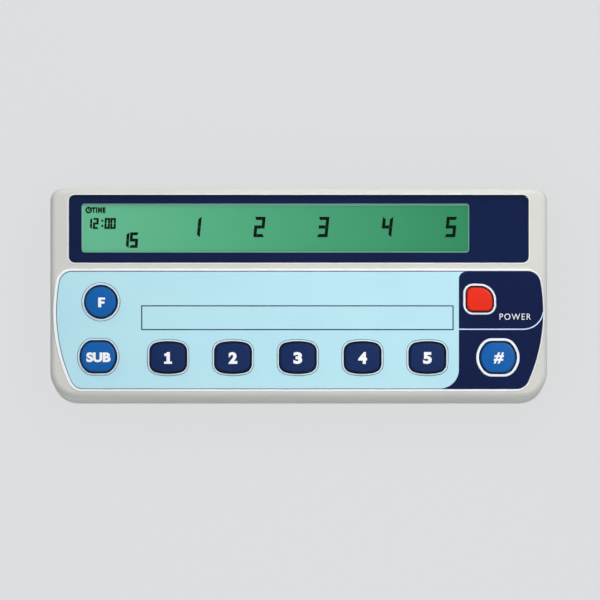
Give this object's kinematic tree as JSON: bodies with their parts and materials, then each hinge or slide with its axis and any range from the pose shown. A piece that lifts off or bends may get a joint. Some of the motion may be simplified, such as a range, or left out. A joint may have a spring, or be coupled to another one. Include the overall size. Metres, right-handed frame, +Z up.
{
  "type": "differential cell counter",
  "caption": "Desk counter for blood cells: wedge case with a wide display window, number keys, function keys and a battery bay below.",
  "frame": {"origin": "middle of the footprint, on the surface that the feet stand on", "axes": "+X along the row of number keys to the right, +Y to the back, +Z up"},
  "size_m": [0.21, 0.0874, 0.0358],
  "materials": {
    "case_plastic": "fine spark texture",
    "overlay_film": "satin printed film",
    "window_acrylic": "polished acrylic",
    "mask_ink": "printed film",
    "display_glass": "green backlit display glass",
    "frame_plastic": "moulded",
    "light_guide": "polished",
    "led_board": "soldered",
    "elastomer": "layered",
    "circuit_board": "solder mask",
    "silicone": "moulded silicone",
    "flex_film": "film",
    "chip_plastic": "moulded",
    "capacitor_can": "sleeved can",
    "key_blue": "moulded, glossy",
    "key_navy": "moulded, glossy",
    "key_red": "moulded, glossy",
    "cell_jacket": "shrink jacket on steel",
    "plated_steel": "nickel plated",
    "lead_cover": "extruded",
    "screw_steel": "zinc plated",
    "foot_rubber": "moulded"
  },
  "bodies": {
    "case": {"top_case": "case_plastic", "bottom_case": "case_plastic", "keypad_overlay": "overlay_film", "window_lens": "window_acrylic", "window_mask": "mask_ink", "lcd_panel": "display_glass", "lcd_frame": "frame_plastic", "light_guide": "light_guide", "backlight_leds": "led_board", "connector_strips": "elastomer", "display_board": "circuit_board", "key_board": "circuit_board", "dome_mat": "silicone", "flex_cable": "flex_film", "controller_chip": "chip_plastic", "display_driver": "chip_plastic", "board_capacitors": "capacitor_can", "buzzer": "chip_plastic", "battery_1": "cell_jacket", "battery_2": "cell_jacket", "battery_3": "cell_jacket", "battery_4": "cell_jacket", "terminal_contacts": "plated_steel", "bridge_contact": "plated_steel", "battery_springs": "plated_steel", "battery_leads": "lead_cover", "case_screws": "screw_steel", "board_screws": "screw_steel", "rubber_feet": "foot_rubber"},
    "key_f_body": {"key_f": "key_blue"},
    "key_sub_body": {"key_sub": "key_blue"},
    "key_1_body": {"key_1": "key_navy"},
    "key_2_body": {"key_2": "key_navy"},
    "key_3_body": {"key_3": "key_navy"},
    "key_4_body": {"key_4": "key_navy"},
    "key_5_body": {"key_5": "key_navy"},
    "key_hash_body": {"key_hash": "key_blue"},
    "key_power_body": {"key_power": "key_red"},
    "door": {"battery_door": "case_plastic"}
  },
  "joints": [
    {"name": "key_f_press", "type": "slide", "parent": "case", "child": "key_f_body", "axis": [0, 0.1564, -0.9877], "range_m": [0, 0.0012], "stiffness_N_per_m": 650, "springref_m": -0.0006, "deforming": ["dome_mat"]},
    {"name": "key_sub_press", "type": "slide", "parent": "case", "child": "key_sub_body", "axis": [0, 0.1564, -0.9877], "range_m": [0, 0.0012], "stiffness_N_per_m": 650, "springref_m": -0.0006, "deforming": ["dome_mat"]},
    {"name": "key_1_press", "type": "slide", "parent": "case", "child": "key_1_body", "axis": [0, 0.1564, -0.9877], "range_m": [0, 0.0012], "stiffness_N_per_m": 650, "springref_m": -0.0006, "deforming": ["dome_mat"]},
    {"name": "key_2_press", "type": "slide", "parent": "case", "child": "key_2_body", "axis": [0, 0.1564, -0.9877], "range_m": [0, 0.0012], "stiffness_N_per_m": 650, "springref_m": -0.0006, "deforming": ["dome_mat"]},
    {"name": "key_3_press", "type": "slide", "parent": "case", "child": "key_3_body", "axis": [0, 0.1564, -0.9877], "range_m": [0, 0.0012], "stiffness_N_per_m": 650, "springref_m": -0.0006, "deforming": ["dome_mat"]},
    {"name": "key_4_press", "type": "slide", "parent": "case", "child": "key_4_body", "axis": [0, 0.1564, -0.9877], "range_m": [0, 0.0012], "stiffness_N_per_m": 650, "springref_m": -0.0006, "deforming": ["dome_mat"]},
    {"name": "key_5_press", "type": "slide", "parent": "case", "child": "key_5_body", "axis": [0, 0.1564, -0.9877], "range_m": [0, 0.0012], "stiffness_N_per_m": 650, "springref_m": -0.0006, "deforming": ["dome_mat"]},
    {"name": "key_hash_press", "type": "slide", "parent": "case", "child": "key_hash_body", "axis": [0, 0.1564, -0.9877], "range_m": [0, 0.0012], "stiffness_N_per_m": 650, "springref_m": -0.0006, "deforming": ["dome_mat"]},
    {"name": "key_power_press", "type": "slide", "parent": "case", "child": "key_power_body", "axis": [0, 0.1564, -0.9877], "range_m": [0, 0.0012], "stiffness_N_per_m": 650, "springref_m": -0.0006, "deforming": ["dome_mat"]},
    {"name": "door_slide", "type": "slide", "parent": "case", "child": "door", "axis": [0, 1, 0], "range_m": [0, 0.006]}
  ]
}
